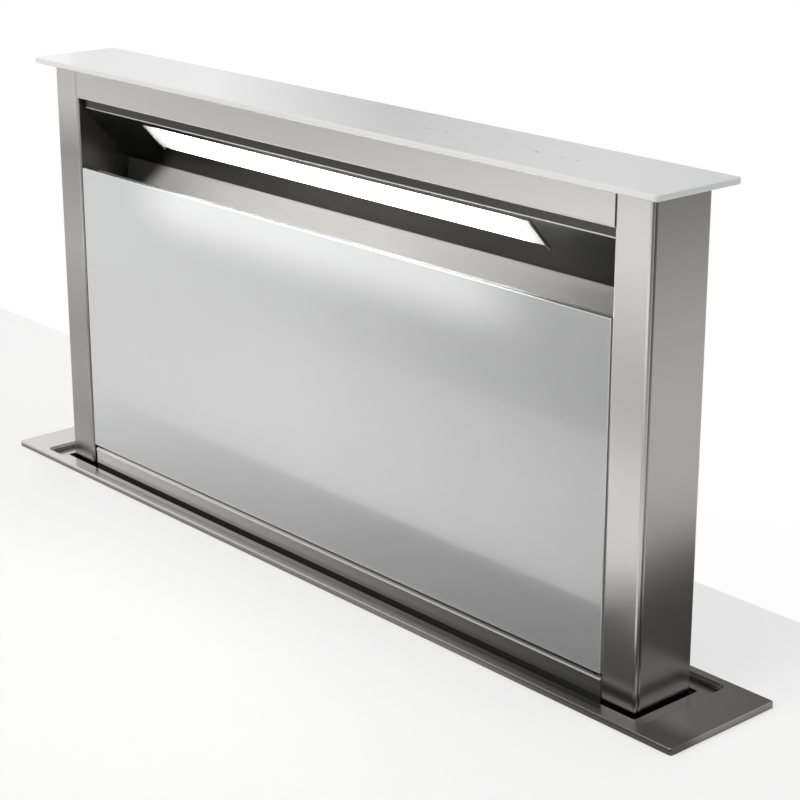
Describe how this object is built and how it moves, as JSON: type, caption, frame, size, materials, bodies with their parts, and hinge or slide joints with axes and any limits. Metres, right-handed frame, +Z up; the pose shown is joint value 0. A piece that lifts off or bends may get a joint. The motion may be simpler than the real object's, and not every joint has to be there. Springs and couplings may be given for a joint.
{
  "type": "downdraft vent",
  "caption": "Pop-up downdraft extractor: a slim steel tower with a glass lid, lit intake slot and tipping glass front rises from a worktop frame; blower and duct on the chassis below.",
  "frame": {"origin": "centre of the worktop frame, on its underside: the surface of the worktop that holds it", "axes": "+X along the tower to the right as the cook sees it, +Y away from the cook, +Z up"},
  "size_m": [0.88, 0.2627, 1.1078],
  "materials": {
    "stainless": "fine vertical brushing",
    "dark_stainless": "fine lengthwise brushing",
    "galvanised": "galvanised, faint spangle",
    "white_glass": "toughened glass, white backed, polished",
    "diffuser": "opal, lit from behind",
    "aluminium": "satin",
    "black_plastic": "moulded, fine grain",
    "grey_plastic": "moulded, fine grain",
    "white_plastic": "acetal, satin",
    "seal_rubber": "matt",
    "motor_casing": "cast, satin",
    "shaft_steel": "ground",
    "circuit_board": "solder mask"
  },
  "bodies": {
    "chassis": {"worktop_frame": "dark_stainless", "recess_ledge": "dark_stainless", "wiper_seal": "seal_rubber", "chassis_front_panel": "galvanised", "chassis_rear_panel": "galvanised", "chassis_side_left": "galvanised", "chassis_side_right": "galvanised", "chassis_floor": "galvanised", "clamp_bracket_left": "galvanised", "clamp_bracket_right": "galvanised", "guide_rail_left": "aluminium", "guide_rail_right": "aluminium", "lift_rack_left": "grey_plastic", "lift_rack_right": "grey_plastic", "blower_scroll": "black_plastic", "scroll_cover": "black_plastic", "inlet_ring": "galvanised", "blower_motor": "motor_casing", "duct_adapter": "black_plastic", "duct_collar": "black_plastic", "control_box": "grey_plastic", "control_box_cover": "grey_plastic", "mains_gland": "black_plastic"},
    "impeller": {"blower_impeller": "black_plastic", "impeller_shaft": "shaft_steel"},
    "flap_front": {"backdraft_flap_front": "grey_plastic"},
    "flap_rear": {"backdraft_flap_rear": "grey_plastic"},
    "tower": {"post_left": "stainless", "post_right": "stainless", "side_cover_left": "stainless", "side_cover_right": "stainless", "tower_rear_panel": "stainless", "top_fascia": "stainless", "bottom_rail": "stainless", "lid_tray": "galvanised", "lid_glass": "white_glass", "touch_board": "circuit_board", "intake_canopy": "stainless", "light_housing": "aluminium", "light_diffuser": "diffuser", "rear_deflector": "stainless", "grease_filter_left": "aluminium", "grease_filter_right": "aluminium", "carriage_plate_left": "galvanised", "carriage_plate_right": "galvanised", "carriage_beam": "galvanised", "shaft_bush_left": "black_plastic", "shaft_bush_right": "black_plastic", "guide_shoe_left": "white_plastic", "guide_shoe_right": "white_plastic", "lift_gearbox": "black_plastic", "lift_motor": "motor_casing"},
    "lift_shaft": {"drive_shaft": "shaft_steel", "pinion_left": "white_plastic", "pinion_right": "white_plastic"},
    "front_panel": {"front_glass": "white_glass", "glass_pan": "galvanised", "hinge_pin_left": "shaft_steel", "hinge_pin_right": "shaft_steel"}
  },
  "joints": [
    {"name": "tower_lift", "type": "slide", "parent": "chassis", "child": "tower", "axis": [0, 0, 1], "range_m": [-0.3957, 0]},
    {"name": "shaft_turn", "type": "hinge", "parent": "tower", "child": "lift_shaft", "pos_m": [0, -0.002, -0.05], "axis": [1, 0, 0], "range_deg": [0, 1296]},
    {"name": "panel_tip", "type": "hinge", "parent": "tower", "child": "front_panel", "pos_m": [0, -0.022, 0.012], "axis": [1, 0, 0], "range_deg": [0, 45]},
    {"name": "impeller_spin", "type": "hinge", "parent": "chassis", "child": "impeller", "pos_m": [0.04, -0.1, -0.562], "axis": [0, 1, 0], "continuous": true},
    {"name": "flap_front_swing", "type": "hinge", "parent": "chassis", "child": "flap_front", "pos_m": [-0.2186, -0.128, -0.63], "axis": [0, 0, 1], "range_deg": [-75, 0], "stiffness_Nm_per_rad": 0.01},
    {"name": "flap_rear_swing", "type": "hinge", "parent": "chassis", "child": "flap_rear", "pos_m": [-0.2186, -0.128, -0.63], "axis": [0, 0, 1], "range_deg": [0, 75], "stiffness_Nm_per_rad": 0.01}
  ],
  "couplings": [
    {"joint": "shaft_turn", "follows": "tower_lift", "rad_per_m": -57.143}
  ]
}
